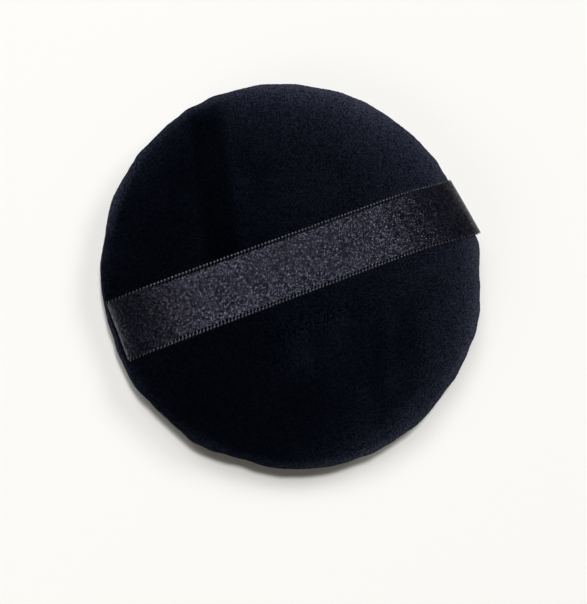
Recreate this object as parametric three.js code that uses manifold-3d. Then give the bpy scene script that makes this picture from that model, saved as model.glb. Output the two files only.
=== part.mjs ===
// Round velour powder puff with a satin finger ribbon across its back.
// Millimetres, +Z up. The puff lies on its applicator face: z = 0 is that face, the origin is
// its middle, X runs along the ribbon and Y across it.
import * as THREE from "three";
import { mergeVertices } from "three/addons/utils/BufferGeometryUtils.js";
import Module from "manifold-3d";

const wasm = await Module();
wasm.setup();

// ---- driving dimensions -------------------------------------------------------------------
const PUFF_DIA = 80; // over the velour
const PUFF_T = 13; // thickness of the pad at its middle
const CLOTH = 1.2; // velour, backing and pile together
const SHOULDER = 8; // exponent of the pillow section: higher is flatter with a rounder rim
const REST_R = 24; // radius of the flat that the puff lies on
const CREASE = 1.2; // how far the seam is drawn in from the rim
const ALLOWANCE = 4.6; // seam allowance turned inwards
const ALLOW_T = 1.0; // thickness of each turned-in layer
const RIBBON_W = 12.7; // half-inch satin ribbon
const RIBBON_T = 0.4;
const RIBBON_Y = 1.5; // the ribbon is sewn on a little off the middle
const RIBBON_TAIL = 5.6; // length of each end inside the seam
const SPAN_END = 31; // the ribbon lifts between -SPAN_END and +SPAN_END
const THREAD = 0.26; // sewing thread
const STITCHES = 52; // machine stitches, about 4 mm each
const LOOP = 0.42; // half width of the loop where the two seam threads lock
const GAP = 0.3; // working clearance between neighbouring pieces
const TURN_GAP_DEG = 44; // part of the seam that was left open for turning, then hand-sewn
const TURN_GAP_AT_DEG = 90;
const AROUND = 56; // facets around the puff

const R = PUFF_DIA / 2;
const SEAM_Z = PUFF_T / 2;
const HALF = PUFF_T / 2;
const FOLD_R = R - CREASE; // radius of the seam line itself
const BULGE_Z = 1.4; // height of the widest place above and below the seam
const rad = (d) => (d * Math.PI) / 180;

// ---- helpers ------------------------------------------------------------------------------
// A three.js geometry as a solid for the boolean steps.
function solid(geometry) {
  const g = geometry.clone();
  g.deleteAttribute("normal");
  g.deleteAttribute("uv");
  const m = mergeVertices(g, 1e-4);
  const tri = [];
  const a = m.index.array;
  for (let i = 0; i < a.length; i += 3)
    if (a[i] !== a[i + 1] && a[i + 1] !== a[i + 2] && a[i] !== a[i + 2])
      tri.push(a[i], a[i + 1], a[i + 2]);
  return new wasm.Manifold(
    new wasm.Mesh({
      numProp: 3,
      vertProperties: new Float32Array(m.attributes.position.array),
      triVerts: new Uint32Array(tri),
    }),
  );
}
function geometryOf(manifold) {
  const m = manifold.getMesh();
  const g = new THREE.BufferGeometry();
  g.setAttribute(
    "position",
    new THREE.BufferAttribute(new Float32Array(m.vertProperties), 3),
  );
  g.setIndex(Array.from(m.triVerts));
  g.computeVertexNormals();
  return g;
}
// A closed profile of [r, z] points, from axis to axis, turned about Z.
function turned(profile) {
  const g = new THREE.LatheGeometry(
    profile.map(([r, z]) => new THREE.Vector2(r, z)),
    AROUND,
  );
  g.rotateX(Math.PI / 2);
  return g;
}
// A line that is followed exactly, point by point.
class Polyline extends THREE.Curve {
  constructor(points) {
    super();
    this.points = points.map((p) => new THREE.Vector3(...p));
  }
  getPoint(t, target = new THREE.Vector3()) {
    const n = this.points.length - 1;
    const s = Math.min(Math.max(t, 0), 1) * n;
    const i = Math.min(Math.floor(s), n - 1);
    return target.lerpVectors(this.points[i], this.points[i + 1], s - i);
  }
  getUtoTmapping(u) {
    return u;
  }
}
// A thread along a line of [x, y, z] points, square in section.
function thread(points) {
  const h = THREAD / 2;
  const section = new THREE.Shape([
    new THREE.Vector2(-h, -h),
    new THREE.Vector2(h, -h),
    new THREE.Vector2(h, h),
    new THREE.Vector2(-h, h),
  ]);
  return new THREE.ExtrudeGeometry(section, {
    steps: points.length - 1,
    extrudePath: new Polyline(points),
    bevelEnabled: false,
  });
}
function block(x, y, z, cx, cy, cz) {
  const g = new THREE.BoxGeometry(x, y, z);
  g.translate(cx, cy, cz);
  return solid(g);
}
// The two sides of a line of [x, z] points, half a thickness away on either side.
function band(line, half) {
  const left = [],
    right = [];
  line.forEach(([x, z], i) => {
    const [ax, az] = line[Math.max(i - 1, 0)];
    const [bx, bz] = line[Math.min(i + 1, line.length - 1)];
    const l = Math.hypot(bx - ax, bz - az);
    const nx = -(bz - az) / l,
      nz = (bx - ax) / l;
    left.push(new THREE.Vector2(x + nx * half, z + nz * half));
    right.push(new THREE.Vector2(x - nx * half, z - nz * half));
  });
  return left.concat(right.reverse());
}
// A strip with the given side line, extruded across Y and centred on the ribbon's line.
function strip(line, thickness, width) {
  const g = new THREE.ExtrudeGeometry(new THREE.Shape(band(line, thickness / 2)), {
    depth: width,
    steps: 1,
    bevelEnabled: false,
  });
  g.rotateX(Math.PI / 2);
  g.translate(0, RIBBON_Y + width / 2, 0);
  return g;
}

// ---- section of the puff ------------------------------------------------------------------
// Distance above the seam plane of the pillow surface with rim radius `rim` and crown `top`.
const pillow = (r, rim, top, base) =>
  base + (top - base) * Math.sqrt(Math.max(0, 1 - (r / rim) ** SHOULDER));
const OUTER_R = [39.75, 39.2, 38.3, 37, 35, 32, 28, REST_R];
const INNER_R = [38.3, 37.4, 36, 33.5, 30, REST_R];

// One cover as [r, h], with h measured from the seam plane outwards.
function coverProfile(flat) {
  const p = [[0, HALF]];
  const dip = (r, h) => [r, flat && r <= REST_R ? HALF : h];
  for (const r of [...OUTER_R].reverse())
    p.push(dip(r, pillow(r, R, HALF, BULGE_Z)));
  p.push([R, BULGE_Z], [R - 0.12, 0.8], [R - 0.45, 0.4], [FOLD_R, GAP / 2]);
  p.push([FOLD_R - ALLOWANCE, GAP / 2], [FOLD_R - ALLOWANCE, GAP / 2 + ALLOW_T]);
  p.push([R - CLOTH - 0.1, GAP / 2 + ALLOW_T]);
  for (const r of INNER_R)
    p.push(dip(r, pillow(r, R - CLOTH, HALF - CLOTH, BULGE_Z)));
  p[p.length - 1][1] = HALF - CLOTH;
  p.push([0, HALF - CLOTH]);
  return p;
}

// ---- ribbon line, seam to seam ------------------------------------------------------------
// It comes out of the seam, turns up round the rim and lies on the back cover.
const LIE = GAP + RIBBON_T / 2; // middle of the ribbon above the velour
function ribbonSide(sign) {
  const line = [
    [R - RIBBON_TAIL, SEAM_Z],
    [FOLD_R - 0.2, SEAM_Z],
    [R + 0.12, SEAM_Z + 0.42],
    [R + LIE, SEAM_Z + BULGE_Z],
  ];
  for (const r of [39.75, 39.2, 38.3, 37, 35, 33, SPAN_END + GAP / 2]) {
    const d = 0.02;
    const z = pillow(r, R, HALF, BULGE_Z);
    const slope =
      (pillow(r + d, R, HALF, BULGE_Z) - pillow(r - d, R, HALF, BULGE_Z)) / (2 * d);
    const l = Math.hypot(slope, 1);
    line.push([r + (-slope / l) * LIE, SEAM_Z + z + LIE / l]);
  }
  return line.map(([x, z]) => [sign * x, z]);
}
const spanLine = [];
for (const x of [-(SPAN_END - GAP / 2), -28.5, -25, -20, 20, 25, 28.5, SPAN_END - GAP / 2])
  spanLine.push([x, SEAM_Z + pillow(Math.abs(x), R, HALF, BULGE_Z) + LIE]);

const clearance = [-1, 1].map((s) =>
  solid(strip(ribbonSide(s).map(([x, z], i) => [i ? x : x - s * GAP, z]),
    RIBBON_T + 2 * GAP, RIBBON_W + 2 * GAP)),
);

// ---- stitching ----------------------------------------------------------------------------
// Machine lockstitch just inside the fold, from one side of the turning gap to the other. The
// needle thread lies on the back cover's allowance and the bobbin thread under the front
// cover's; they hook into each other in every needle hole.
const SEAM_R = FOLD_R - 1.2;
const LAYER = GAP / 2 + ALLOW_T; // far face of each allowance, from the seam plane
const RUN_H = LAYER + 0.2 + THREAD / 2; // where a thread runs along an allowance
const FIRST = rad(TURN_GAP_AT_DEG + TURN_GAP_DEG / 2);
const STEP = rad(360 - TURN_GAP_DEG) / STITCHES;
const atSeam = (angle, along, out, h) => {
  const a = angle + along / SEAM_R;
  const r = SEAM_R + out;
  return [r * Math.cos(a), r * Math.sin(a), SEAM_Z + h];
};
const needle = [atSeam(FIRST, 0, 0, RUN_H)];
const bobbin = [atSeam(FIRST, 0, LOOP, -RUN_H)];
const holes = [];
for (let k = 0; k < STITCHES; k++) {
  const a = FIRST + (k + 0.5) * STEP;
  for (const [e, h] of [
    [-0.8, RUN_H], [-LOOP, RUN_H - 0.1], [-LOOP, 0.1], [0, -0.24],
    [LOOP, 0.1], [LOOP, RUN_H - 0.1], [0.8, RUN_H],
  ])
    needle.push(atSeam(a, e, 0, h));
  const side = k % 2 ? -LOOP : LOOP;
  for (const [e, o, h] of [
    [-0.4, side, -RUN_H], [0, side, 0.1 - RUN_H], [0, side, -0.1], [0, 0, 0.24],
    [0, -side, -0.1], [0, -side, 0.1 - RUN_H], [0.4, -side, -RUN_H],
  ])
    bobbin.push(atSeam(a, e, o, h));
  const hole = new THREE.CylinderGeometry(0.78, 0.78, 2 * LAYER + 0.6, 8);
  hole.rotateX(Math.PI / 2);
  hole.rotateZ(a);
  hole.translate(...atSeam(a, 0, 0, 0));
  holes.push(solid(hole));
}
needle.push(atSeam(FIRST + STITCHES * STEP, 0, 0, RUN_H));
bobbin.push(atSeam(FIRST + STITCHES * STEP, 0, STITCHES % 2 ? -LOOP : LOOP, -RUN_H));
const seamHoles = wasm.Manifold.union(holes);

// Tacks: a running stitch across each ribbon end, through the back cover's allowance.
const TACK_X = 36.0;
const TACK_Y = [-4.5, -1.5, 1.5, 4.5].map((y) => RIBBON_Y + y);
const UNDER = -RIBBON_T / 2 - 0.2 - THREAD / 2;
const tackLine = (s) => {
  const x = s * TACK_X;
  const at = (y, h) => [x, y, SEAM_Z + h];
  const line = [at(TACK_Y[0] - 1.6, RUN_H)];
  TACK_Y.forEach((y, i) => {
    const down = i % 2 === 0;
    const bend = 0.15;
    if (down) line.push(at(y - bend, RUN_H), at(y, RUN_H - bend), at(y, UNDER + bend), at(y + bend, UNDER));
    else line.push(at(y - bend, UNDER), at(y, UNDER + bend), at(y, RUN_H - bend), at(y + bend, RUN_H));
  });
  line.push(at(TACK_Y[3] + 1.6, RUN_H));
  return line;
};
const tackHoles = wasm.Manifold.union(
  [-1, 1].flatMap((s) =>
    TACK_Y.map((y) => block(0.6, 0.6, LAYER + 1, s * TACK_X, y, SEAM_Z + LAYER / 2)),
  ),
);
// Room for the tack's lower runs in the face of the front cover's allowance.
const tackRoom = wasm.Manifold.union(
  [-1, 1].flatMap((s) =>
    [0, 2].map((i) =>
      block(0.6, TACK_Y[i + 1] - TACK_Y[i] + 0.7, 1, s * TACK_X,
        (TACK_Y[i] + TACK_Y[i + 1]) / 2, SEAM_Z + UNDER - THREAD / 2 - 0.15 + 0.5),
    ),
  ),
);

// ---- pieces -------------------------------------------------------------------------------
// Velour covers: a flat-bottomed one below, a crowned one above, each with its allowance
// turned in, needle holes, and a shallow pocket where a ribbon end passes through the seam.
const frontRaw = solid(
  turned(coverProfile(true).map(([r, h]) => [r, SEAM_Z - h])),
);
const backRaw = solid(
  turned(coverProfile(false).reverse().map(([r, h]) => [r, SEAM_Z + h])),
);
const pierced = (m) =>
  m.subtract(clearance[0]).subtract(clearance[1]).subtract(seamHoles);
const ribbonEnd = (s) =>
  solid(strip(ribbonSide(s), RIBBON_T, RIBBON_W)).subtract(seamHoles).subtract(tackHoles);

// Foam core: fills the pouch and is grooved at the rim for the two allowances.
const FOAM = CLOTH + GAP;
const foamHalf = HALF - FOAM;
const groove = ALLOW_T + GAP / 2 + GAP;
const foamSide = [[33.4, groove], [35.4, groove], [36.9, groove + 0.9]];
for (const r of [36.2, 34.6, 31.5, 27, REST_R])
  foamSide.push([r, pillow(r, R - FOAM - 0.2, foamHalf, BULGE_Z)]);
foamSide[foamSide.length - 1][1] = foamHalf;
const foamProfile = [[0, SEAM_Z - foamHalf]]
  .concat([...foamSide].reverse().map(([r, h]) => [r, SEAM_Z - h]))
  .concat(foamSide.map(([r, h]) => [r, SEAM_Z + h]))
  .concat([[0, SEAM_Z + foamHalf]]);

// Ladder stitch: crosses from fold to fold in the crease along the turning gap.
const ladder = [];
const RUNGS = 10;
for (let i = 0; i <= RUNGS * 2; i++) {
  const a = rad(
    TURN_GAP_AT_DEG - TURN_GAP_DEG / 2 - 1 + ((TURN_GAP_DEG + 2) * i) / (RUNGS * 2),
  );
  const up = Math.floor((i + 1) / 2) % 2 ? 0.2 : -0.2;
  ladder.push([(R - 0.4) * Math.cos(a), (R - 0.4) * Math.sin(a), SEAM_Z + up]);
}
// ---- assembly -----------------------------------------------------------------------------
const velour = new THREE.MeshStandardMaterial({ color: 0x07080c, roughness: 0.95 });
const satin = new THREE.MeshStandardMaterial({ color: 0x1a1a20, roughness: 0.4 });
const sponge = new THREE.MeshStandardMaterial({ color: 0xe9e4d8, roughness: 0.95 });
const yarn = new THREE.MeshStandardMaterial({ color: 0x0c0c10, roughness: 0.7 });

const puff = new THREE.Group();
function add(name, geometry, material) {
  const mesh = new THREE.Mesh(geometry, material);
  mesh.name = name;
  puff.add(mesh);
}
add("front_cover", geometryOf(pierced(frontRaw).subtract(tackRoom)), velour);
add("back_cover", geometryOf(pierced(backRaw).subtract(tackHoles)), velour);
add("foam_core", turned(foamProfile), sponge);
add("ribbon_span", strip(spanLine, RIBBON_T, RIBBON_W), satin);
add("ribbon_left_end", geometryOf(ribbonEnd(-1)), satin);
add("ribbon_right_end", geometryOf(ribbonEnd(1)), satin);
add("seam_needle_thread", thread(needle), yarn);
add("seam_bobbin_thread", thread(bobbin), yarn);
add("closing_thread", thread(ladder), yarn);
add("left_tack_thread", thread(tackLine(-1)), yarn);
add("right_tack_thread", thread(tackLine(1)), yarn);

export default puff;
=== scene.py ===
"""Looks of the velour powder puff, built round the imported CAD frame.
Lengths in the shape code are millimetres; meshes are written in metres, in the row frame."""

import math

import bpy
import numpy as np
from mathutils import Matrix, Vector


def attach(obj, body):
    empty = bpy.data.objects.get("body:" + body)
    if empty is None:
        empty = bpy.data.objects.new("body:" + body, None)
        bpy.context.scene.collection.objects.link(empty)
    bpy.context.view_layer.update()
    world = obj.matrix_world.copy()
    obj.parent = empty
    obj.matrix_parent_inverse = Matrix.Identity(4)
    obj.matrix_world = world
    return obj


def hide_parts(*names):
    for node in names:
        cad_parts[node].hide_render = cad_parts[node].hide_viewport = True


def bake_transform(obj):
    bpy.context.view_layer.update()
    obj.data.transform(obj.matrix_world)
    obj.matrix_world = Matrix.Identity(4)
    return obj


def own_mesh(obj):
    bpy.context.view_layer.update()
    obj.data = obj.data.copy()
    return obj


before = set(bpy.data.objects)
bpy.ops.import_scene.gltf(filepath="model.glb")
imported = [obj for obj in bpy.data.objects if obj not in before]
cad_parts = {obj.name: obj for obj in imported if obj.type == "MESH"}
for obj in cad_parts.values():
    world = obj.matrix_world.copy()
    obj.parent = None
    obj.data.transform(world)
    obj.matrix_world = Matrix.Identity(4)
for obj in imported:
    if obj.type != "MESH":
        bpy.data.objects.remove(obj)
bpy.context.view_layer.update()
MM = 0.001

# ------------------------------------------------------------------ sizes (mm)
R = 40.0  # nominal rim radius
SEAM = 6.5  # height of the seam
HALF = 6.5  # half thickness
BULGE = 1.4  # widest place, above and below the seam
CREASE = 1.2  # how far the seam is drawn in
FOLD = R - CREASE
ALLOW = 4.6  # seam allowance
CLOTH = 1.2  # velour
CROWN = 0.35  # the ribbon side swells a little more in the middle
FLAT_BACK, FLAT_FRONT = 18.0, 24.0  # the two faces begin to round off here
ROUND = 1.4  # 2 would round them off as an ellipse, 1 as a parabola
RIB_Y = 1.5
RIB_W = 12.7
RIB_T = 0.24
THREAD_R = 0.14

# Rim of the sewn puff against a true circle: (degrees from +X, mm)
RIM = [
    (0, -0.15), (5, -0.15), (9, -0.10), (13, -0.42), (17, 0.0), (21, -0.20), (25, -0.10),
    (30, -0.12), (35, -0.22), (40, -0.07), (44, 0.02), (52, 0.10), (58, -0.02), (62, -0.20),
    (68, 0.02), (75, -0.03), (79, 0.16), (87, -0.10), (94, 0.27), (99, 0.15), (104, 0.26),
    (109, 0.12), (115, -0.10), (122, 0.22), (129, 0.02), (137, 0.31), (142, 0.06),
    (149, -0.46), (156, -0.12), (162, -0.06), (167, -0.30), (171, -0.22), (176, -0.45),
    (183, -0.12), (188, 0.0), (193, 0.38), (200, -0.14), (206, -0.29), (212, -0.11),
    (218, 0.37), (224, -0.13), (233, -0.80), (239, -0.28), (245, -0.22), (255, -0.20),
    (259, -0.09), (266, -0.31), (274, -0.11), (282, -0.35), (288, 0.02), (294, -0.20),
    (302, -0.37), (308, 0.15), (313, -0.03), (318, 0.28), (326, 0.60), (333, 0.22),
    (340, 0.0), (343, 0.18), (346, 0.62), (349, 0.95), (351, 0.72), (354, 0.15), (357, -0.1),
]


def smoothstep(x, a, b):
    t = np.clip((x - a) / (b - a), 0.0, 1.0)
    return t * t * (3 - 2 * t)


def periodic(knots, width):
    """Knots (deg, value) as a smooth periodic function of an angle in radians."""
    n = 1440
    deg = np.arange(n) * 360.0 / n
    k = sorted(knots)
    xs = np.array([k[-1][0] - 360] + [a for a, _ in k] + [k[0][0] + 360], float)
    ys = np.array([k[-1][1]] + [b for _, b in k] + [k[0][1]], float)
    v = np.interp(deg, xs, ys)
    f = np.fft.rfft(v)
    f *= np.exp(-0.5 * (np.arange(len(f)) * math.radians(width)) ** 2)
    v = np.fft.irfft(f, n)

    def at(theta):
        p = (np.degrees(theta) % 360.0) * n / 360.0
        i = np.floor(p).astype(int) % n
        t = p - np.floor(p)
        return v[i] * (1 - t) + v[(i + 1) % n] * t

    return at


rim_dev = periodic(RIM, 1.3)


def waves(seed, low, high, count):
    """A pattern round the rim: a few close wave counts with their own phases, rms 1."""
    g = np.random.default_rng(seed)
    ks = g.integers(low, high, count)
    ph = g.uniform(0, 2 * math.pi, count)
    am = g.uniform(0.5, 1.0, count)
    am /= math.sqrt((am**2).sum() / 2)

    def at(theta):
        return sum(a * np.cos(k * theta + p) for a, k, p in zip(am, ks, ph))

    return at


# ------------------------------------------------------------------ mesh helpers
def mesh_object(name, verts_mm, quads, tris=None, flat_from=None, uv=None):
    """A smooth mesh from arrays, in metres. Quads from `flat_from` on are shaded flat."""
    v = (np.asarray(verts_mm, float) * MM).astype(np.float32)
    q = np.asarray(quads, np.int32).reshape(-1, 4)
    t = np.asarray(tris if tris is not None else [], np.int32).reshape(-1, 3)
    m = bpy.data.meshes.new(name)
    m.vertices.add(len(v))
    m.vertices.foreach_set("co", v.ravel())
    loops = np.concatenate([q.ravel(), t.ravel()])
    m.loops.add(len(loops))
    m.loops.foreach_set("vertex_index", loops)
    starts = np.concatenate(
        [np.arange(len(q)) * 4, len(q) * 4 + np.arange(len(t)) * 3]
    ).astype(np.int32)
    m.polygons.add(len(starts))
    m.polygons.foreach_set("loop_start", starts)
    smooth = np.ones(len(starts), bool)
    if flat_from is not None:
        smooth[flat_from:] = False
    m.polygons.foreach_set("use_smooth", smooth)
    m.update(calc_edges=True)
    if uv is not None:
        layer = m.uv_layers.new(name="cloth")
        layer.uv.foreach_set("vector", np.asarray(uv, np.float32)[loops].ravel())
    m.validate()
    o = bpy.data.objects.new(name, m)
    bpy.context.scene.collection.objects.link(o)
    return o


def outward(verts, quads):
    """The quads, turned round if the closed body faces inwards."""
    v, q = np.asarray(verts, float), np.asarray(quads, int).reshape(-1, 4)
    a, b, c, d = (v[q[:, i]] for i in range(4))
    vol = (np.einsum("ij,ij->i", a, np.cross(b, c)) + np.einsum("ij,ij->i", a, np.cross(c, d))).sum()
    return q if vol > 0 else q[:, ::-1]


def spline(points, step):
    """Centripetal Catmull-Rom through the points, at about equal steps."""
    p = np.array(points, float)
    p = np.vstack([2 * p[0] - p[1], p, 2 * p[-1] - p[-2]])
    out = []
    for i in range(1, len(p) - 2):
        p0, p1, p2, p3 = p[i - 1 : i + 3]
        t0 = 0.0
        t1 = t0 + np.linalg.norm(p1 - p0) ** 0.5
        t2 = t1 + np.linalg.norm(p2 - p1) ** 0.5
        t3 = t2 + np.linalg.norm(p3 - p2) ** 0.5
        t = np.linspace(t1, t2, 24, endpoint=False)[:, None]
        a1 = (t1 - t) / (t1 - t0) * p0 + (t - t0) / (t1 - t0) * p1
        a2 = (t2 - t) / (t2 - t1) * p1 + (t - t1) / (t2 - t1) * p2
        a3 = (t3 - t) / (t3 - t2) * p2 + (t - t2) / (t3 - t2) * p3
        b1 = (t2 - t) / (t2 - t0) * a1 + (t - t0) / (t2 - t0) * a2
        b2 = (t3 - t) / (t3 - t1) * a2 + (t - t1) / (t3 - t1) * a3
        out.append((t2 - t) / (t2 - t1) * b1 + (t - t1) / (t2 - t1) * b2)
    out.append(p[-2][None])
    c = np.concatenate(out)
    s = np.concatenate([[0], np.cumsum(np.linalg.norm(np.diff(c, axis=0), axis=1))])
    n = max(2, int(round(s[-1] / step)))
    u = np.linspace(0, s[-1], n + 1)
    return np.stack([np.interp(u, s, c[:, k]) for k in range(c.shape[1])], 1), s[-1]


def tube(points, radius, sides):
    """Vertices, quads and end triangles of a round tube along the points (mm)."""
    p = np.asarray(points, float)
    tan = np.gradient(p, axis=0)
    tan /= np.linalg.norm(tan, axis=1)[:, None]
    ref = np.array([0.0, 0.0, 1.0]) if abs(tan[0, 2]) < 0.9 else np.array([1.0, 0, 0])
    nrm = np.zeros_like(p)
    nrm[0] = np.cross(np.cross(tan[0], ref), tan[0])
    nrm[0] /= np.linalg.norm(nrm[0])
    for i in range(1, len(p)):
        nrm[i] = nrm[i - 1] - tan[i] * (nrm[i - 1] @ tan[i])
        nrm[i] /= np.linalg.norm(nrm[i])
    bi = np.cross(tan, nrm)
    a = np.arange(sides) * 2 * math.pi / sides
    rad = np.broadcast_to(np.asarray(radius, float), (len(p),))
    ring = p[:, None] + rad[:, None, None] * (
        np.cos(a)[None, :, None] * nrm[:, None] + np.sin(a)[None, :, None] * bi[:, None]
    )
    verts = ring.reshape(-1, 3)
    i, j = np.meshgrid(np.arange(len(p) - 1), np.arange(sides), indexing="ij")
    i, j = i.ravel(), j.ravel()
    jn = (j + 1) % sides
    quads = np.stack([i * sides + j, i * sides + jn, (i + 1) * sides + jn, (i + 1) * sides + j], 1)
    n = len(verts)
    verts = np.vstack([verts, p[0], p[-1]])
    k = np.arange(sides)
    kn = (k + 1) % sides
    last = (len(p) - 1) * sides
    tris = np.vstack(
        [np.stack([np.full(sides, n), kn, k], 1), np.stack([np.full(sides, n + 1), last + k, last + kn], 1)]
    )
    return verts, quads, tris


def join_tubes(name, tubes):
    vs, qs, ts, base = [], [], [], 0
    for v, q, t in tubes:
        vs.append(v)
        qs.append(q + base)
        ts.append(t + base)
        base += len(v)
    return mesh_object(name, np.vstack(vs), np.vstack(qs), np.vstack(ts))


# ------------------------------------------------------------------ ribbon line (x, z)
def shoulder(x0, a, z0, b, count):
    """The ribbon's way from the flat middle down to the rim."""
    f = np.linspace(0, math.pi / 2, count)
    return list(zip(x0 + a * np.sin(f), z0 + b * np.cos(f) ** (2 / ROUND)))


RIB_TOP = 13.42
left_side = [(-x, z) for x, z in shoulder(18.0, 20.72, 7.6, RIB_TOP - 7.6, 15)]
right_side = shoulder(17.0, 22.90, 8.7, RIB_TOP - 8.7, 15)
RIB_LINE = (
    [(-34.4, 6.50), (-36.4, 6.50), (-37.5, 6.60), (-38.35, 7.05)]
    + left_side[::-1]
    + [(-12, RIB_TOP + 0.04), (-6, RIB_TOP + 0.06), (0, RIB_TOP + 0.07), (6, RIB_TOP + 0.06), (12, RIB_TOP + 0.04)]
    + right_side
    + [(39.70, 7.6), (38.9, 6.86), (37.7, 6.56), (36.5, 6.50), (34.4, 6.50)]
)
rib, RIB_LEN = spline(RIB_LINE, 0.2)
LAST = len(rib) - 1
MID = int(np.argmin(np.abs(rib[:, 0])))
_d = np.gradient(rib, axis=0)
_d /= np.linalg.norm(_d, axis=1)[:, None]
rib_n = np.stack([-_d[:, 1], _d[:, 0]], 1)  # away from the puff


def rib_shift(x):
    """The right end runs a little to one side, and its fold stands a little askew."""
    w = smoothstep(x, 24.0, 39.0)
    return -0.1 - 0.6 * w, -0.16 * w


def on_ribbon(k, y, lift):
    """Point at line position k (may be fractional), y mm across, lift mm above the middle."""
    idx = np.arange(len(rib))
    x, z = np.interp(k, idx, rib[:, 0]), np.interp(k, idx, rib[:, 1])
    nx, nz = np.interp(k, idx, rib_n[:, 0]), np.interp(k, idx, rib_n[:, 1])
    dy, skew = rib_shift(x)
    v = y / (RIB_W / 2)
    # the edges curl down a little, and the strip is not perfectly even
    bow = -0.03 * (np.abs(v) ** 3) + 0.02 * np.sin(0.31 * k + 2.0 * v) * np.cos(0.117 * k)
    yy = RIB_Y + dy + y * (1.03 + 0.025 * smoothstep(x, 24.0, 39.0))
    px = x + nx * (lift + bow) + skew * (yy - RIB_Y)
    return np.stack(np.broadcast_arrays(px, yy, z + nz * (lift + bow)), -1)


def under_ribbon(verts, clear):
    """Cloth under the ribbon is drawn in until it lies `clear` mm below the ribbon's middle."""
    v = verts.copy()
    dy, _ = rib_shift(v[:, 0])
    off = np.abs(v[:, 1] - RIB_Y - dy)
    w = 1 - smoothstep(off, RIB_W / 2 + 0.1, RIB_W / 2 + 2.4)
    near = np.where((w > 0) & (v[:, 2] > SEAM - 0.5))[0]
    line, nrm = rib[::2], rib_n[::2]
    for part in np.array_split(near, max(1, len(near) // 4000)):
        p = v[part][:, [0, 2]].copy()
        _, skew = rib_shift(p[:, 0])
        p[:, 0] -= skew * (v[part, 1] - RIB_Y)
        k = np.argmin(((p[:, None, :] - line[None]) ** 2).sum(2), 1)
        dist = ((p - line[k]) * nrm[k]).sum(1)
        move = np.maximum(dist + clear, 0) * w[part]
        v[part, 0] -= nrm[k, 0] * move
        v[part, 2] -= nrm[k, 1] * move
    return v


# ------------------------------------------------------------------ velour covers
def dome(rim, half, crown, flat_r, count):
    """Half section of a stuffed face as (r, h), from the middle to the widest place."""
    f = np.linspace(0, math.pi / 2, count)
    r = np.concatenate([np.linspace(0, flat_r, 60)[:-1], flat_r + (rim - flat_r) * np.sin(f)])
    e = np.concatenate([np.ones(59), np.clip(np.cos(f), 0, 1) ** (2 / ROUND)])
    return np.stack([r, BULGE + (half + crown * (1 - (r / rim) ** 2) - BULGE) * e], 1)


LIP = np.array(
    [(R, BULGE * 0.75), (R - 0.07, 0.85), (R - 0.22, 0.58), (R - 0.45, 0.36),
     (R - 0.75, 0.19), (R - 1.0, 0.10), (FOLD, 0.06)]
)


def by_length(curve):
    s = np.concatenate([[0], np.cumsum(np.linalg.norm(np.diff(curve, axis=0), axis=1))])
    return s, s[-1]


def disc_grid(n):
    """Square grid laid on a unit disc: polar (u, theta), quads, and the boundary loop in order."""
    g = np.linspace(-1, 1, n + 1)
    a, b = np.meshgrid(g, g, indexing="ij")
    a, b = a.ravel(), b.ravel()
    big = np.abs(a) >= np.abs(b)
    u = np.where(big, np.abs(a), np.abs(b))
    th = np.where(
        big,
        math.pi / 4 * b / np.where(a == 0, 1, a) + np.where(a < 0, math.pi, 0),
        math.pi / 2 - math.pi / 4 * a / np.where(b == 0, 1, b) + np.where(b < 0, math.pi, 0),
    )
    i, j = np.meshgrid(np.arange(n), np.arange(n), indexing="ij")
    i, j = i.ravel(), j.ravel()
    w = n + 1
    quads = np.stack([i * w + j, (i + 1) * w + j, (i + 1) * w + j + 1, i * w + j + 1], 1)
    k = np.arange(n)
    loop = np.concatenate([n * w + k, (n - k) * w + n, n - k, k * w])
    return u, th % (2 * math.pi), quads, loop


def face_relief(x, y, seed):
    """Soft unevenness of a stuffed face, about rms 1."""
    g = np.random.default_rng(seed)
    z = np.zeros_like(x)
    for _ in range(14):
        L = g.uniform(16, 34)
        a = g.uniform(0, 2 * math.pi)
        z += g.uniform(0.4, 1.0) * np.cos(
            2 * math.pi * (x * math.cos(a) + y * math.sin(a)) / L + g.uniform(0, 6.28)
        )
    return z / 14**0.5


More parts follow.
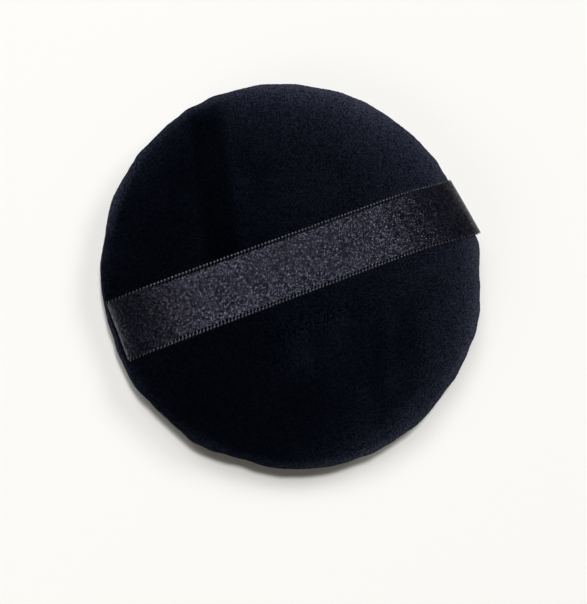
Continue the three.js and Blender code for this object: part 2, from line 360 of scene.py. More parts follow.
def cover(name, up, n, seed):
    """A velour cover: outer side, turned-in allowance and inner side, one closed body."""
    crown, flat_r = (CROWN, FLAT_BACK) if up else (0.0, FLAT_FRONT)
    half = HALF if up else HALF - 0.08
    out = np.vstack([dome(R, half, crown, flat_r, 120), LIP])
    s_out, l_out = by_length(out)
    inn = dome(R - CLOTH, half - CLOTH, crown, flat_r, 90)
    inn = inn[: -6]
    s_in, l_in = by_length(inn)
    u, th, quads, loop = disc_grid(n)
    pucker = waves(seed, 30, 58, 9)
    slow = waves(seed + 1, 3, 9, 5)

    def place(r, h, theta, d_fold, outside):
        """(r, h) of the plain section as a point, with the rim's shape and puckers."""
        rr = r + rim_dev(theta) * smoothstep(r / R, 0.5, 0.97)
        p = 0.07 * pucker(theta) * (1 + 0.35 * slow(theta)) * np.exp(-d_fold / 3.6) * outside
        side = np.clip(1 - h / HALF, 0, 1)
        rr = rr + p * (0.3 + 0.7 * side)
        x, y = rr * np.cos(theta), rr * np.sin(theta)
        hh = h + 1.3 * p * (1 - side)
        if up:
            hh = hh + 0.10 * face_relief(x, y, seed + 5) * smoothstep(HALF - h, 5.0, 0.5)
        return np.stack([x, y, SEAM + hh if up else SEAM - hh], 1)

    # outer side, with a fine uneven nap
    s = u * l_out
    r, h = np.interp(s, s_out, out[:, 0]), np.interp(s, s_out, out[:, 1])
    outer = place(r, h, th, l_out - s, 1.0)
    n_out = len(outer)
    nap = np.random.default_rng(seed + 3).normal(0, 1, n_out)
    sec = np.gradient(out, axis=0)
    sec /= np.linalg.norm(sec, axis=1)[:, None]
    nr, nh = np.interp(s, s_out, -sec[:, 1]), np.interp(s, s_out, sec[:, 0])
    amount = 0.02 * nap * smoothstep(l_out - s, 0.3, 1.5)
    outer[:, 0] += nr * np.cos(th) * amount
    outer[:, 1] += nr * np.sin(th) * amount
    outer[:, 2] += (nh if up else -nh) * amount
    # allowance rows, from the fold inwards, round the raw edge and back out
    t = th[loop]
    rows = []
    for rr, hh in (
        [(FOLD - 0.5, 0.05), (FOLD - 1.6, 0.06), (FOLD - 3.0, 0.07), (FOLD - ALLOW + 0.1, 0.09)]
        + [(FOLD - ALLOW - 0.1, 0.3), (FOLD - ALLOW - 0.12, 0.6), (FOLD - ALLOW, 0.9)]
        + [(FOLD - 3.6, 0.98), (FOLD - 2.2, 1.0), (FOLD - 1.0, 1.02), (FOLD - 0.45, 1.1)]
    ):
        fray = 0.12 * np.random.default_rng(seed + 9).normal(0, 1, len(t)) * (rr < FOLD - ALLOW + 0.2)
        rows.append(place(rr + fray, np.full(len(t), hh), t, np.full(len(t), 9.0), 0.0))
    # inner side
    si = u * l_in
    ri, hi = np.interp(si, s_in, inn[:, 0]), np.interp(si, s_in, inn[:, 1])
    inner = place(ri, hi, th, np.full(len(ri), 9.0), 0.0)
    verts = np.vstack([outer] + rows + [inner])
    m = len(loop)
    nxt = np.roll(np.arange(m), -1)
    q = [quads]
    prev = loop
    for k in range(len(rows)):
        row = n_out + k * m + np.arange(m)
        q.append(np.stack([prev, prev[nxt], row[nxt], row], 1))
        prev = row
    base = n_out + len(rows) * m
    last = base + loop
    q.append(np.stack([prev, prev[nxt], last[nxt], last], 1))
    q.append((quads + base)[:, ::-1])
    # the grids face out; the strips then follow their shared edges
    a, b, c = (verts[quads[:, k]] for k in range(3))
    if np.cross(b - a, c - a)[:, 2].mean() * (1.0 if up else -1.0) < 0:
        q[0], q[-1] = q[0][:, ::-1], q[-1][:, ::-1]
    edges = set(map(tuple, np.stack([q[0], np.roll(q[0], -1, 1)], 2).reshape(-1, 2).tolist()))
    if (int(loop[0]), int(loop[1])) in edges:
        q[1:-1] = [x[:, ::-1] for x in q[1:-1]]
    if up:
        verts = under_ribbon(verts, RIB_T / 2 + 0.05)
    # room for the ribbon ends between the two allowances
    off = np.abs(verts[:, 1] - RIB_Y - rib_shift(verts[:, 0])[0])
    band = 1 - smoothstep(off, RIB_W / 2 + 0.2, RIB_W / 2 + 1.5)
    low = np.abs(verts[:, 2] - SEAM) < 0.6
    far = np.hypot(verts[:, 0], verts[:, 1]) > FOLD - ALLOW - 1
    verts[:, 2] += (0.16 if up else -0.16) * band * low * far
    return mesh_object(name, verts, np.vstack(q))


N_GRID = 200
back = cover("back_cover_velour", True, N_GRID, 21)
front = cover("front_cover_velour", False, N_GRID, 57)


# ------------------------------------------------------------------ ribbon
BODY_W = RIB_W / 2 - 1.05  # half width of the woven field; the edge loops reach over it
HOLD = 0.01  # rows this near an edge keep its corner crisp


def ribbon_half(name, k0, k1, across):
    """The strip from line point k0 to k1, a thin closed body."""
    ks = np.concatenate([[k0, k0 + HOLD], np.arange(k0 + 1, k1), [k1 - HOLD, k1]])
    ys = np.linspace(-BODY_W, BODY_W, across + 1)
    ys = np.concatenate([ys[:1], [ys[0] + 0.2 * HOLD], ys[1:-1], [ys[-1] - 0.2 * HOLD], ys[-1:]])
    across = len(ys) - 1
    kk, yy = (a.ravel() for a in np.meshgrid(ks, ys, indexing="ij"))
    x, nx = (np.interp(kk, np.arange(len(rib)), a) for a in (rib[:, 0], rib_n[:, 0]))
    wide = yy * (1 + 0.07 * smoothstep(np.abs(x), 27, 34) + 0.05 * smoothstep(nx, 0.35, 0.8))
    verts = np.vstack([on_ribbon(kk, wide, RIB_T / 2), on_ribbon(kk, wide, -RIB_T / 2)])
    uv = np.stack([kk * RIB_LEN / LAST, yy], 1)
    w = across + 1
    i, j = (a.ravel() for a in np.meshgrid(np.arange(len(ks) - 1), np.arange(across), indexing="ij"))
    t = np.stack([i * w + j, (i + 1) * w + j, (i + 1) * w + j + 1, i * w + j + 1], 1)
    n = len(kk)
    a, c = np.arange(len(ks) - 1), np.arange(across)
    end = (len(ks) - 1) * w
    quads = np.vstack(
        [t, (t + n)[:, ::-1],
         np.stack([a * w, n + a * w, n + (a + 1) * w, (a + 1) * w], 1),
         np.stack([a * w + across, (a + 1) * w + across, n + (a + 1) * w + across, n + a * w + across], 1),
         np.stack([c, c + 1, n + c + 1, n + c], 1),
         np.stack([end + c, n + end + c, n + end + c + 1, end + c + 1], 1)]
    )
    return mesh_object(name, verts, outward(verts, quads), flat_from=2 * len(t), uv=np.vstack([uv, uv]))


ribbon_left = ribbon_half("ribbon_left_half", 0, MID, 48)
ribbon_right = ribbon_half("ribbon_right_half", MID, LAST, 48)
LOOP_PITCH = 0.75
LOOP_FLAT = 0.22  # the loops are pressed flat


def selvedge(name, k0, k1):
    """Woven edge of the ribbon: slanting weft loops that turn round the outermost warp, on both sides."""
    g = np.random.default_rng(k0 + 5)
    per = LAST / RIB_LEN  # line points per mm
    tubes = []
    first, last = math.ceil(k0 / per / LOOP_PITCH), math.ceil(k1 / per / LOOP_PITCH) - 1
    for side in (-1, 1):
        for i in range(first, last + 1):
            s = i * LOOP_PITCH + (0.3 if side > 0 else 0.0) + g.normal(0, 0.03)
            e = g.normal(0, 0.03)
            path = [
                (-0.40, 5.10 + e, -0.02), (-0.28, 5.40 + e, 0.0), (-0.14, 5.76, 0.04), (0.0, 5.99, 0.06),
                (0.10, 6.11, 0.03), (0.12, 6.13, -0.03), (0.06, 6.0, -0.05), (-0.05, 5.8, -0.05),
            ]
            p, _ = spline(path, 0.07)
            u = np.linspace(0, 1, len(p))
            thick = 0.085 + 0.23 * np.exp(-(((u - 0.52) / 0.16) ** 2))
            x, nx = (float(np.interp(s * per, np.arange(len(rib)), a)) for a in (rib[:, 0], rib_n[:, 0]))
            thick *= (1 + g.normal(0, 0.05)) * (1 - 0.4 * smoothstep(abs(x), 28, 37) - 0.3 * smoothstep(nx, 0.45, 0.8))
            v, q, c = tube(p, thick, 8)
            mid = np.append(np.repeat(p[:, 2], 8), p[[0, -1], 2])
            k = np.clip((s + side * v[:, 0]) * per, 0, LAST)
            v = on_ribbon(k, side * v[:, 1], mid + LOOP_FLAT * (v[:, 2] - mid))
            tubes.append((v, q if side > 0 else q[:, ::-1], c if side > 0 else c[:, ::-1]))
    return join_tubes(name, tubes)


edge_left = selvedge("ribbon_left_selvedge", 0, MID)
edge_right = selvedge("ribbon_right_selvedge", MID, LAST)


# ------------------------------------------------------------------ threads
def plied(name, lines, radius, twist):
    """Two-ply thread along each line of points."""
    tubes = []
    for line in lines:
        p, length = spline(line, 0.12)
        t = np.gradient(p, axis=0)
        t /= np.linalg.norm(t, axis=1)[:, None]
        n = np.cross(t, [0.3, 0.5, 0.81])
        n /= np.linalg.norm(n, axis=1)[:, None]
        b = np.cross(t, n)
        ph = 2 * math.pi * np.linspace(0, length, len(p)) / twist
        for a in (0.0, math.pi):
            o = 0.5 * radius * (np.cos(ph + a)[:, None] * n + np.sin(ph + a)[:, None] * b)
            tubes.append(tube(p + o, 0.56 * radius, 6))
    return join_tubes(name, tubes)


ALLOW_T, SPACE, LOOP = 1.0, 0.26, 0.42
SEAM_R, LAYER = FOLD - 1.2, 0.15 + ALLOW_T
RUN_H = LAYER + 0.2 + SPACE / 2
STITCHES, GAP_DEG, GAP_AT = 52, 44.0, 90.0
FIRST, STEP = math.radians(GAP_AT + GAP_DEG / 2), math.radians(360 - GAP_DEG) / STITCHES


def at_seam(angle, along, out, h):
    a = angle + along / SEAM_R
    return ((SEAM_R + out) * math.cos(a), (SEAM_R + out) * math.sin(a), SEAM + h)


needle, bobbin = [at_seam(FIRST, 0, 0, RUN_H)], [at_seam(FIRST, 0, LOOP, -RUN_H)]
for i in range(STITCHES):
    a0 = FIRST + (i + 0.5) * STEP
    for e, h in ((-0.8, RUN_H), (-LOOP, RUN_H - 0.1), (-LOOP, 0.1), (0, -0.24), (LOOP, 0.1), (LOOP, RUN_H - 0.1), (0.8, RUN_H)):
        needle.append(at_seam(a0, e, 0, h))
    side = -LOOP if i % 2 else LOOP
    for e, o, h in ((-0.4, side, -RUN_H), (0, side, 0.1 - RUN_H), (0, side, -0.1), (0, 0, 0.24),
                    (0, -side, -0.1), (0, -side, 0.1 - RUN_H), (0.4, -side, -RUN_H)):
        bobbin.append(at_seam(a0, e, o, h))
needle.append(at_seam(FIRST + STITCHES * STEP, 0, 0, RUN_H))
bobbin.append(at_seam(FIRST + STITCHES * STEP, 0, LOOP, -RUN_H))

ladder = []
for i in range(21):
    a0 = math.radians(GAP_AT - GAP_DEG / 2 - 1 + (GAP_DEG + 2) * i / 20)
    rr = R - 0.62 + float(rim_dev(np.array([a0]))[0])
    ladder.append((rr * math.cos(a0), rr * math.sin(a0), SEAM + (0.24 if ((i + 1) // 2) % 2 else -0.24)))


def tack(sx):
    under = -0.2 - 0.2 - SPACE / 2
    ys = [RIB_Y + y for y in (-4.5, -1.5, 1.5, 4.5)]
    line = [(sx * 36.0, ys[0] - 1.6, SEAM + RUN_H)]
    for i, y in enumerate(ys):
        hs = (RUN_H, under) if i % 2 == 0 else (under, RUN_H)
        b = 0.15 if hs[1] > hs[0] else -0.15
        line += [(sx * 36.0, y - 0.15, SEAM + hs[0]), (sx * 36.0, y, SEAM + hs[0] + b),
                 (sx * 36.0, y, SEAM + hs[1] - b), (sx * 36.0, y + 0.15, SEAM + hs[1])]
    return line + [(sx * 36.0, ys[-1] + 1.6, SEAM + RUN_H)]


THREADS = {
    "seam_needle_thread": plied("needle_thread_plied", [needle], THREAD_R, 0.9),
    "seam_bobbin_thread": plied("bobbin_thread_plied", [bobbin], THREAD_R, 0.9),
    "closing_thread": plied("closing_thread_plied", [ladder], THREAD_R, 0.9),
    "left_tack_thread": plied("left_tack_plied", [tack(-1)], THREAD_R, 0.9),
    "right_tack_thread": plied("right_tack_plied", [tack(1)], THREAD_R, 0.9),
}


# ------------------------------------------------------------------ foam core
def foam():
    prof = [(0, -4.7), (20, -4.7), (25, -4.65), (29, -4.4), (32.4, -3.8), (35.0, -3.0), (36.5, -2.2), (36.2, -1.75),
            (34.6, -1.45), (33.5, -1.3), (33.3, 0), (33.5, 1.3), (34.6, 1.45), (36.2, 1.75), (36.5, 2.2),
            (34.6, 3.0), (31.5, 3.7), (28, 4.2), (22, 4.62), (12, 4.85), (0, 4.9)]
    line, _ = spline(prof, 0.7)
    line[:, 0] = np.maximum(line[:, 0], 0.0)
    line[0, 0] = line[-1, 0] = 0.0
    n = 180
    th = np.arange(n) * 2 * math.pi / n
    body = line[1:-1]
    verts = np.stack(
        [body[:, None, 0] * np.cos(th)[None], body[:, None, 0] * np.sin(th)[None],
         np.repeat((SEAM + body[:, 1])[:, None], n, 1)], 2).reshape(-1, 3)
    verts = verts + np.random.default_rng(3).normal(0, 0.03, verts.shape)
    i, j = (a.ravel() for a in np.meshgrid(np.arange(len(body) - 1), np.arange(n), indexing="ij"))
    jn = (j + 1) % n
    quads = np.stack([i * n + j, i * n + jn, (i + 1) * n + jn, (i + 1) * n + j], 1)
    b = len(verts)
    verts = np.vstack([verts, [0, 0, SEAM + line[0, 1]], [0, 0, SEAM + line[-1, 1]]])
    k = np.arange(n)
    kn = (k + 1) % n
    top = (len(body) - 1) * n
    tris = np.vstack([np.stack([np.full(n, b), kn, k], 1), np.stack([np.full(n, b + 1), top + k, top + kn], 1)])
    return mesh_object("foam_core_sponge", verts, quads, tris)


core = foam()


# ------------------------------------------------------------------ materials
class Nodes:
    """Short calls for building one material's nodes."""

    def __init__(self, name):
        self.material = bpy.data.materials.new(name)
        self.material.use_nodes = True
        self.tree = self.material.node_tree
        self.shader = self.tree.nodes["Principled BSDF"]

    def link(self, value, socket):
        if isinstance(value, bpy.types.NodeSocket):
            self.tree.links.new(value, socket)
        else:
            socket.default_value = value

    def math(self, op, a, b=0.0, c=0.0, clamp=False):
        n = self.tree.nodes.new("ShaderNodeMath")
        n.operation = op
        n.use_clamp = clamp
        for v, s in zip((a, b, c), n.inputs):
            self.link(v, s)
        return n.outputs[0]

    def place(self, kind="Object"):
        return self.tree.nodes.new("ShaderNodeTexCoord").outputs[kind]

    def uv(self, name):
        n = self.tree.nodes.new("ShaderNodeUVMap")
        n.uv_map = name
        return n.outputs[0]

    def split(self, vector):
        n = self.tree.nodes.new("ShaderNodeSeparateXYZ")
        self.link(vector, n.inputs[0])
        return n.outputs[0], n.outputs[1], n.outputs[2]

    def join(self, x, y, z=0.0):
        n = self.tree.nodes.new("ShaderNodeCombineXYZ")
        for v, s in zip((x, y, z), n.inputs):
            self.link(v, s)
        return n.outputs[0]

    def noise(self, vector, scale, detail=2.0, rough=0.5):
        n = self.tree.nodes.new("ShaderNodeTexNoise")
        self.link(vector, n.inputs["Vector"])
        n.inputs["Scale"].default_value = scale
        n.inputs["Detail"].default_value = detail
        n.inputs["Roughness"].default_value = rough
        return n.outputs[0]

    def random(self, vector):
        n = self.tree.nodes.new("ShaderNodeTexWhiteNoise")
        n.noise_dimensions = "3D"
        self.link(vector, n.inputs["Vector"])
        return n.outputs["Color"]

    def step(self, value, low, high):
        """Smooth step from 0 at `low` to 1 at `high`."""
        n = self.tree.nodes.new("ShaderNodeMapRange")
        n.interpolation_type = "SMOOTHSTEP"
        self.link(value, n.inputs["Value"])
        n.inputs["From Min"].default_value = low
        n.inputs["From Max"].default_value = high
        return n.outputs["Result"]

    def curve(self, value, points):
        """A smooth curve through (0..1, height) points; heights are scaled by the tallest."""
        top = max(h for _, h in points)
        n = self.tree.nodes.new("ShaderNodeFloatCurve")
        c = n.mapping.curves[0]
        while len(c.points) < len(points):
            c.points.new(0.5, 0.5)
        for pt, (px, h) in zip(c.points, sorted(points)):
            pt.location = (px, h / top)
            pt.handle_type = "AUTO_CLAMPED"
        n.mapping.update()
        self.link(value, n.inputs["Value"])
        return self.math("MULTIPLY", n.outputs[0], top)

    def stroke(self, x, y, start, end, wide, soft, amount):
        """1 away from a straight mark from start to end (m), 1 + amount on it."""
        dx, dy = end[0] - start[0], end[1] - start[1]
        length = math.hypot(dx, dy)
        dx, dy = dx / length, dy / length
        px, py = self.math("SUBTRACT", x, start[0]), self.math("SUBTRACT", y, start[1])
        s = self.math("ADD", self.math("MULTIPLY", px, dx), self.math("MULTIPLY", py, dy))
        d = self.math("ABSOLUTE", self.math("SUBTRACT", self.math("MULTIPLY", py, dx), self.math("MULTIPLY", px, dy)))
        on = self.math("SUBTRACT", 1.0, self.step(d, wide - soft, wide + soft))
        ends = self.math("MULTIPLY", self.step(s, -2 * soft, 2 * soft), self.math("SUBTRACT", 1.0, self.step(s, length - 2 * soft, length + 2 * soft)))
        return self.math("MULTIPLY_ADD", self.math("MULTIPLY", on, ends), amount, 1.0)

    def lean(self, normal, by):
        """A normal leant over by a vector."""
        a = self.tree.nodes.new("ShaderNodeVectorMath")
        self.link(normal, a.inputs[0])
        self.link(by, a.inputs[1])
        u = self.tree.nodes.new("ShaderNodeVectorMath")
        u.operation = "NORMALIZE"
        self.link(a.outputs[0], u.inputs[0])
        return u.outputs[0]

    def ramp(self, fac, stops):
        n = self.tree.nodes.new("ShaderNodeValToRGB")
        e = n.color_ramp.elements
        while len(e) < len(stops):
            e.new(0.5)
        for el, (pos, col) in zip(e, stops):
            el.position = pos
            el.color = (*col, 1)
        self.link(fac, n.inputs[0])
        return n.outputs[0]

    def mix(self, fac, a, b):
        n = self.tree.nodes.new("ShaderNodeMix")
        n.data_type = "RGBA"
        self.link(fac, n.inputs[0])
        for v, s in ((a, n.inputs[6]), (b, n.inputs[7])):
            self.link(v if isinstance(v, bpy.types.NodeSocket) else (*v, 1), s)
        return n.outputs[2]

    def bump(self, height, strength, distance, normal=None):
        n = self.tree.nodes.new("ShaderNodeBump")
        n.inputs["Strength"].default_value = strength
        n.inputs["Distance"].default_value = distance
        self.link(height, n.inputs["Height"])
        if normal is not None:
            self.link(normal, n.inputs["Normal"])
        return n.outputs[0]

    def set(self, **values):
        for k, v in values.items():
            self.link(v, self.shader.inputs[k.replace("_", " ")])
        return self.material


def velour_material():
    """Velour with painted sheen and light: lighter towards one side of the face and where the rim turns away on that
    side, with soft streaks.
    """
    n = Nodes("velour_black")
    co = n.place()
    x, y, z = n.split(co)
    _, _, nz = n.split(n.place("Normal"))
    r = n.math("SQRT", n.math("ADD", n.math("MULTIPLY", x, x), n.math("MULTIPLY", y, y)))

    def toward(angle):
        return n.math("ADD", n.math("MULTIPLY", x, math.cos(angle)), n.math("MULTIPLY", y, math.sin(angle)))

    turn = n.math("FRACT", n.math("MULTIPLY_ADD", n.math("ARCTAN2", y, x), 0.5 / math.pi, 1.0))

    def around(knots):
        return n.curve(turn, [(deg / 360.0, v) for deg, v in knots])

    # painted sheen: the face grows lighter towards one heading, where it turns away from view
    level = n.curve(n.math("MULTIPLY_ADD", toward(PAINTED_SHEEN_DIR), 1 / 0.08, 0.5), PAINTED_SHEEN_ACROSS)
    # painted sheen on the shoulder, stronger on some sides of the rim than on others
    reach = n.math("DIVIDE", r, 0.04)
    painted_shoulder_sheen = n.math("MULTIPLY", n.curve(reach, PAINTED_SHEEN_SHOULDER), around(PAINTED_SHEEN_SHOULDER_ROUND))
    # painted highlight along the rim's edge, brighter or darker by its angle round the rim
    painted_edge_highlight = n.math("MULTIPLY", n.curve(reach, PAINTED_HIGHLIGHT_EDGE), around(PAINTED_LIGHT_EDGE_ROUND))
    level = n.math("ADD", level, n.math("MULTIPLY", painted_shoulder_sheen, n.step(nz, -0.35, 0.15)))
    level = n.math("ADD", level, n.math("MULTIPLY", painted_edge_highlight, n.step(nz, -0.85, -0.35)))
    # painted light on the cover below the seam, stronger at its rim
    under = n.math("MULTIPLY_ADD", n.step(reach, 0.93, 0.985), PAINTED_LIGHT_UNDER_RIM, PAINTED_LIGHT_UNDER_FACE)
    level = n.math("MULTIPLY_ADD", n.step(z, 0.00614, 0.00588), under, level)
    # darker and lighter streaks along straight marks
    for ax, ay, bx, by, wide, soft, amount in STREAK_MARKS:
        level = n.math("MULTIPLY", level, n.stroke(x, y, (ax, ay), (bx, by), wide, soft, amount))
    nap = n.noise(co, 85.0, 3.0, 0.55)
    pile = n.noise(co, 4200.0, 2.0, 0.65)
    level = n.math("MULTIPLY", level, n.math("MULTIPLY_ADD", nap, 0.9, 0.55))
    cell = n.tree.nodes.new("ShaderNodeVectorMath")
    cell.operation = "SNAP"
    n.link(co, cell.inputs[0])
    cell.inputs[1].default_value = (PILE_CELL, PILE_CELL, PILE_CELL)
    tuft, _, _ = n.split(n.random(cell.outputs[0]))
    level = n.math("MULTIPLY", level, n.math("MULTIPLY_ADD", n.math("MULTIPLY", tuft, tuft), 2.2, 0.31))
    tone = n.ramp(n.math("MULTIPLY", level, 1 / 0.05), VELOUR_TONES)
    return n.set(
        Base_Color=tone,
        Normal=n.bump(pile, 0.5, 0.00010),
        Roughness=0.95,
        Specular_IOR_Level=0.0,
        Sheen_Weight=VELOUR_SHEEN,
        Sheen_Roughness=VELOUR_SHEEN_ROUGH,
        Sheen_Tint=(0.45, 0.55, 1.0, 1),
    )


def satin_material():
    """Warp satin: short floats side by side, each an arc that leans its own way, in a five-end order."""
    n = Nodes("satin_black")
    x, y, _ = n.split(n.uv("cloth"))
    i = n.math("FLOOR", n.math("DIVIDE", y, SATIN_ROW))
    u = n.math("SUBTRACT", n.math("DIVIDE", x, SATIN_FLOAT), n.math("MULTIPLY", i, 0.4))
    k = n.math("FLOOR", u)
    t = n.math("MULTIPLY_ADD", n.math("FRACT", u), 2.0, -1.0)
    # each float leans its own way, against its neighbours
    a, b, _ = n.split(n.random(n.join(i, k, 1.0)))
    for di, dk in ((1, 0), (-1, 0), (0, 1), (0, -1)):
        na, nb, _ = n.split(n.random(n.join(n.math("ADD", i, di), n.math("ADD", k, dk), 1.0)))
        a = n.math("MULTIPLY_ADD", na, -0.25, a)
        b = n.math("MULTIPLY_ADD", nb, -0.25, b)
    along = n.math("MULTIPLY_ADD", a, SATIN_ALONG, n.math("MULTIPLY", t, SATIN_ARC))
    aside = n.math("MULTIPLY", b, SATIN_ASIDE)
    # the yarns differ in tone and lustre from place to place
    grain, _, _ = n.split(n.random(n.join(n.math("FLOOR", n.math("DIVIDE", x, SATIN_GRAIN)), n.math("FLOOR", n.math("DIVIDE", y, SATIN_GRAIN)), 2.0)))
    return n.set(
        Base_Color=n.ramp(grain, SATIN_TONES),
        Normal=n.lean(n.place("Normal"), n.join(along, aside, 0.0)),
        Roughness=SATIN_ROUGH,
        Specular_IOR_Level=n.math("MULTIPLY", n.ramp(grain, SATIN_LUSTRE), 2.45),
        Specular_Tint=(0.86, 0.86, 1.0, 1),
    )


def selvedge_material():
    n = Nodes("selvedge_black")
    fine = n.noise(n.place(), 9000.0, 2.0, 0.6)
    return n.set(
        Base_Color=n.ramp(fine, [(0.3, (0.004, 0.004, 0.006)), (0.7, (0.008, 0.008, 0.012))]),
        Normal=n.bump(fine, 0.3, 0.00003),
        Roughness=0.25,
        IOR=1.65,
        Specular_IOR_Level=1.0,
        Specular_Tint=(0.86, 0.86, 1.0, 1),
    )


def thread_material():
    n = Nodes("thread_black")
    fine = n.noise(n.place(), 16000.0, 2.0, 0.6)
    return n.set(
        Base_Color=n.ramp(fine, [(0.3, (0.003, 0.003, 0.004)), (0.7, (0.012, 0.012, 0.015))]),
        Normal=n.bump(fine, 0.5, 0.00003),
        Roughness=0.5,
        Specular_IOR_Level=0.4,
    )


def foam_material():
    n = Nodes("sponge_cream")
    v = n.tree.nodes.new("ShaderNodeTexVoronoi")
    v.inputs["Scale"].default_value = 1100.0
    n.link(n.place(), v.inputs["Vector"])
    cell = v.outputs[0]
    return n.set(
        Base_Color=n.ramp(cell, [(0.0, (0.45, 0.42, 0.35)), (0.5, (0.82, 0.78, 0.69))]),
        Normal=n.bump(cell, 0.8, 0.0003),
        Roughness=0.95,
    )


# painted sheen across the face: its heading and the tones along it
PAINTED_SHEEN_DIR = math.radians(14.0)
PAINTED_SHEEN_ACROSS = [(0.0, 0.0016), (0.12, 0.0015), (0.31, 0.0018), (0.5, 0.0030), (0.69, 0.0044), (0.85, 0.0064), (1.0, 0.0074)]
# painted sheen on the shoulder: by reach from the middle, and by angle round the rim
PAINTED_SHEEN_SHOULDER = [(0.0, 0.0), (0.55, 0.0), (0.70, 0.0012), (0.825, 0.0042), (0.915, 0.0105), (0.96, 0.016), (1.0, 0.020)]
PAINTED_SHEEN_SHOULDER_ROUND = [
    (0, 0.85), (20, 1.0), (45, 1.10), (68, 0.86), (80, 0.68), (92, 0.40), (100, 0.20), (120, 0.12), (158, 0.05),
    (200, 0.03), (230, 0.05), (245, 0.12), (258, 0.24), (270, 0.44), (280, 0.50), (293, 0.66), (310, 0.75), (330, 0.75), (360, 0.85),
]
# painted highlight at the rim's edge by reach; by angle round the rim, low values paint shade and high values paint
# light
PAINTED_HIGHLIGHT_EDGE = [(0.0, 0.0), (0.935, 0.0), (0.965, 0.006), (0.985, 0.016), (1.0, 0.030)]
PAINTED_LIGHT_EDGE_ROUND = [
    (0, 1.1), (30, 1.0), (60, 0.95), (75, 0.80), (90, 0.62), (105, 0.50), (125, 0.45), (140, 0.70), (150, 0.30),
    (165, 0.10), (182, 0.24), (196, 0.12), (215, 0.20), (230, 0.35), (245, 0.50), (256, 0.75), (265, 1.0), (278, 0.95), (293, 1.0), (330, 1.25), (360, 1.1),
]
# painted light on the cover below the seam
PAINTED_LIGHT_UNDER_RIM, PAINTED_LIGHT_UNDER_FACE = 0.0050, 0.005
PILE_CELL = 0.00016
STREAK_MARKS = [
    (-0.0067, 0.0371, -0.0153, 0.0061, 0.0034, 0.0013, -0.48),
    (-0.0052, 0.0384, -0.0186, 0.0252, 0.0035, 0.0025, -0.28),
    (0.0110, -0.0141, 0.0048, -0.0317, 0.0016, 0.0016, -0.30),
    (0.0190, -0.0133, 0.0129, -0.0271, 0.0028, 0.0020, -0.25),
    (0.0030, -0.0080, -0.0027, -0.0240, 0.0026, 0.0022, 0.2),
    (-0.0047, -0.0079, -0.0091, -0.0204, 0.0037, 0.0024, 0.65),
    (0.0087, -0.0089, 0.0044, -0.0195, 0.0014, 0.0014, -0.25),
    (-0.0012, 0.0247, -0.0024, 0.0168, 0.0024, 0.0022, -0.28),
    (0.0150, -0.0291, 0.0028, -0.0343, 0.0017, 0.0016, -0.36),
    (-0.0079, -0.0090, -0.0125, -0.0222, 0.0014, 0.0014, -0.15),
]
VELOUR_TONES = [(0.0, (0.0, 0.0, 0.0)), (0.02, (0.0006, 0.00085, 0.0017)), (0.10, (0.0036, 0.0045, 0.0083)), (0.5, (0.0225, 0.0255, 0.0405)), (1.0, (0.046, 0.050, 0.072))]
VELOUR_SHEEN, VELOUR_SHEEN_ROUGH = 0.10, 0.2
SATIN_FLOAT, SATIN_ROW, SATIN_ARC, SATIN_ALONG, SATIN_ASIDE = 0.15, 0.07, 0.04, 0.20, 0.66
SATIN_GRAIN, SATIN_ROUGH = 0.19, 0.20
SATIN_LUSTRE = [(0.0, (0.80, 0.80, 0.80)), (0.35, (0.34, 0.34, 0.34)), (1.0, (0.07, 0.07, 0.07))]
SATIN_TONES = [(0.0, (0.0100, 0.0116, 0.0225)), (0.3, (0.0024, 0.0030, 0.0068)), (1.0, (0.0002, 0.0003, 0.0008))]

VELOUR, SATIN, EDGE, THREAD, FOAM = (
    velour_material(), satin_material(), selvedge_material(), thread_material(), foam_material()
)


def dress(obj, mat):
    obj.data.materials.clear()
    obj.data.materials.append(mat)


for o in (back, front):
    dress(o, VELOUR)
for o in (ribbon_left, ribbon_right):
    dress(o, SATIN)
for o in (edge_left, edge_right):
    dress(o, EDGE)
for o in THREADS.values():
    dress(o, THREAD)
dress(core, FOAM)

# ------------------------------------------------------------------ ties to the frame
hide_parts("back_cover")
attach(back, "pad_back")
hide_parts("front_cover")
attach(front, "pad_front")
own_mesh(front)
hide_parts("foam_core")
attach(core, "pad_front")
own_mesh(core)
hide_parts("ribbon_left_end", "ribbon_span")
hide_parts("ribbon_right_end")
for o, sx in ((ribbon_left, -1), (edge_left, -1), (ribbon_right, 1), (edge_right, 1)):
    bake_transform(o)
for name, o in THREADS.items():
    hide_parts(name)
    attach(o, "pad_back")
    if name == "seam_bobbin_thread":  # it lies in the front cover's allowance, which flattens
        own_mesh(o)

# ------------------------------------------------------------------ stage, light and camera
S = 3.0
floor_mesh = bpy.data.meshes.new("floor")
floor_mesh.from_pydata([(-S, -S, 0), (S, -S, 0), (S, S, 0), (-S, S, 0)], [], [(0, 1, 2, 3)])
floor = bpy.data.objects.new("floor", floor_mesh)
floor.location.z = -0.00005
bpy.context.scene.collection.objects.link(floor)
paper = Nodes("paper_white")
paper.set(Base_Color=(0.875, 0.863, 0.834, 1), Roughness=0.9, Specular_IOR_Level=0.1)
floor_mesh.materials.append(paper.material)

# a pale wall all round, for the low views only: it lights and mirrors in nothing
ring = [(2.95 * math.cos(2 * math.pi * k / 64), 2.95 * math.sin(2 * math.pi * k / 64)) for k in range(64)]
wall_mesh = bpy.data.meshes.new("backdrop")
wall_mesh.from_pydata(
    [(px, py, -0.1) for px, py in ring] + [(px, py, 3.0) for px, py in ring],
    [],
    [(k, (k + 1) % 64, 64 + (k + 1) % 64, 64 + k) for k in range(64)],
)
wall = bpy.data.objects.new("backdrop", wall_mesh)
bpy.context.scene.collection.objects.link(wall)
pale = Nodes("backdrop_pale")
pale.set(Base_Color=(0, 0, 0, 1), Specular_IOR_Level=0.0, Emission_Color=(0.80, 0.79, 0.765, 1), Emission_Strength=1.0)
pale.material.cycles.emission_sampling = "NONE"
wall_mesh.materials.append(pale.material)
wall.visible_diffuse = wall.visible_glossy = wall.visible_transmission = wall.visible_shadow = False

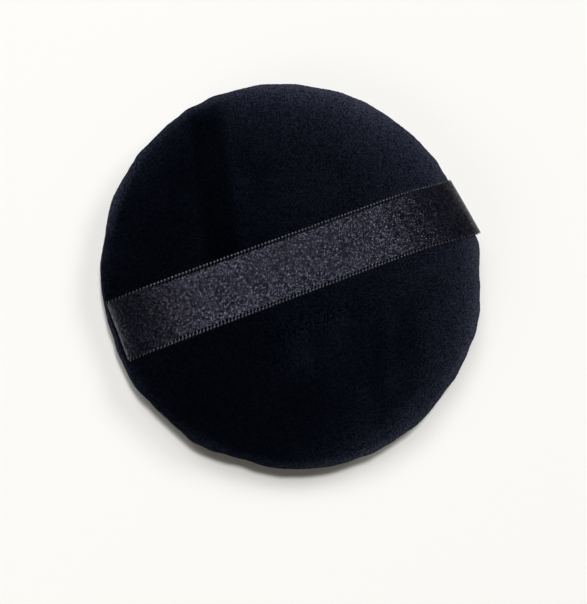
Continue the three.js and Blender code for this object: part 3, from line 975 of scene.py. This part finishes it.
EL, AZ, ROLL = math.radians(72.72), math.radians(190.10), math.radians(59.10)
DIST, F_PX, CX, CY = 0.300, 1458.4, 295.1, 274.1
toward = Vector((math.cos(EL) * math.cos(AZ), math.cos(EL) * math.sin(AZ), math.sin(EL)))
fwd = -toward
right0 = fwd.cross(Vector((0, 0, 1))).normalized()
up0 = right0.cross(fwd)
cam_right = right0 * math.cos(ROLL) + up0 * math.sin(ROLL)
cam_up = -right0 * math.sin(ROLL) + up0 * math.cos(ROLL)
cam_data = bpy.data.cameras.new("camera")
cam_data.sensor_fit = "HORIZONTAL"
cam_data.sensor_width = 36.0
cam_data.lens = F_PX / 587.0 * 36.0
cam_data.shift_x = (587 / 2 - CX) / 587.0
cam_data.shift_y = (CY - 604 / 2) / 587.0
cam = bpy.data.objects.new("camera", cam_data)
pose = Matrix((cam_right, cam_up, toward)).transposed().to_4x4()
pose.translation = Vector((0, 0, SEAM * MM)) + toward * DIST
cam.matrix_world = pose
bpy.context.scene.collection.objects.link(cam)
bpy.context.scene.camera = cam


def area(name, az_deg, tilt_deg, dist, size, power, along_deg, color=(1, 1, 1)):
    """A rectangular light aimed at the puff: az and tilt from the vertical, long side along a heading."""
    a, t = math.radians(az_deg), math.radians(tilt_deg)
    pos = Vector((math.sin(t) * math.cos(a), math.sin(t) * math.sin(a), math.cos(t))) * dist
    lamp = bpy.data.lights.new(name, "AREA")
    lamp.shape = "RECTANGLE"
    lamp.size, lamp.size_y = size
    lamp.energy = power
    lamp.color = color
    o = bpy.data.objects.new(name, lamp)
    z = pos.normalized()
    x = Vector((math.cos(math.radians(along_deg)), math.sin(math.radians(along_deg)), 0))
    x = (x - z * x.dot(z)).normalized()
    y = z.cross(x)
    m = Matrix((x, y, z)).transposed().to_4x4()
    m.translation = pos
    o.matrix_world = m
    bpy.context.scene.collection.objects.link(o)
    return o


WORLD = 0.06
for lamp in (
    area("key", 102.0, 13.0, 3.0, (0.34, 0.34), 48.5, 28, (0.975, 0.985, 1.0)),
    area("sky left", 110.0, 32.0, 3.0, (1.4, 1.4), 33.0, 18, (0.975, 0.985, 1.0)),
    area("sky right", 22.0, 36.0, 3.0, (1.3, 1.3), 23.0, 122, (0.975, 0.985, 1.0)),
    area("left fill", 200.0, 62.0, 3.0, (1.5, 1.5), 11.0, 110, (1.0, 0.94, 0.80)),
):
    lamp.visible_glossy = False


def panel(name, x_deg, y_deg, size, power, color):
    """A light near the vertical, by its lean towards +X and +Y."""
    o = area(name, math.degrees(math.atan2(y_deg, x_deg)), math.hypot(x_deg, y_deg), 1.0, size, power, 0, color)
    o.visible_diffuse = False
    return o


panel("window", 11.2, 14.0, (0.82, 0.17), 2.35, (0.84, 0.84, 1.0))
panel("curtain", -15.5, 12.0, (0.15, 0.30), 0.17, (1.0, 0.78, 0.72))
area("left wall", 178.0, 74.0, 1.0, (0.5, 0.62), 0.26, 88, (0.97, 0.98, 1.0))
area("left board", 178.0, 82.0, 0.95, (0.5, 0.30), 0.10, 88, (0.97, 0.98, 1.0))
area("right wall", 2.0, 84.0, 1.0, (0.6, 0.26), 0.13, 92, (1.0, 0.90, 0.80))

world = bpy.data.worlds.new("world")
bpy.context.scene.world = world
world.use_nodes = True
world.node_tree.nodes["Background"].inputs[0].default_value = (1.0, 0.94, 0.82, 1)
world.node_tree.nodes["Background"].inputs[1].default_value = WORLD

view = bpy.context.scene.view_settings
view.view_transform = "Standard"
view.look = "None"

bpy.context.view_layer.update()
